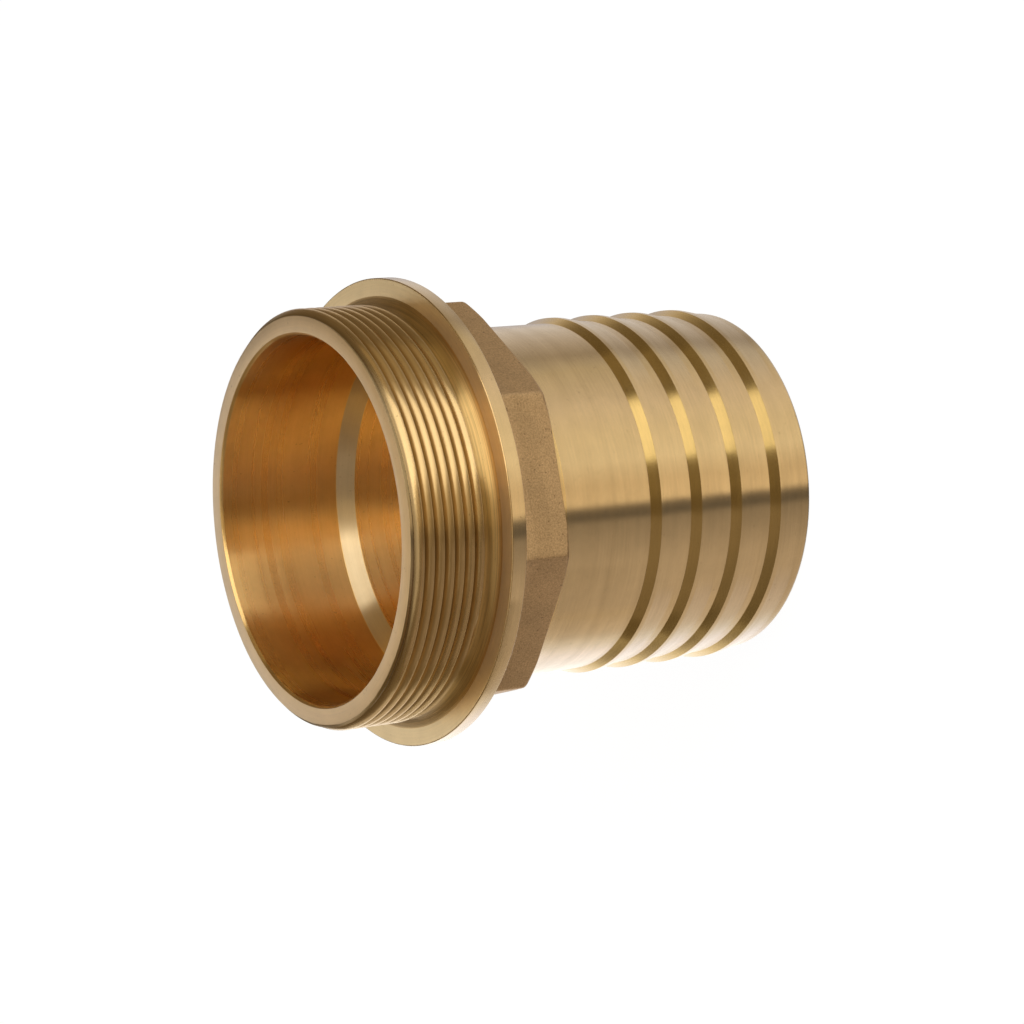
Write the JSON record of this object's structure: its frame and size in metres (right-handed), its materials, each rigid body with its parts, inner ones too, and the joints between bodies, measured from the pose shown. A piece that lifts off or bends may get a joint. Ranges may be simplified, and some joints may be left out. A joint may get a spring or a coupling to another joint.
{
  "type": "hose barb tail",
  "caption": "Brass hose tail for a large hose: barbed tail, wrench collar with flats, sealing flange and a parallel pipe thread around a straight-through bore.",
  "frame": {"origin": "centre of the hose end, the face that it stands on", "axes": "+Z along the bore axis from the hose end to the threaded end; +X, +Y and their opposites point at the middle of a wrench flat"},
  "size_m": [0.0987, 0.0988, 0.1026],
  "materials": {
    "brass": "turned satin brass, sand-cast wrench flats"
  },
  "bodies": {
    "root": {"hose_barb_tail": "brass"}
  },
  "joints": []
}
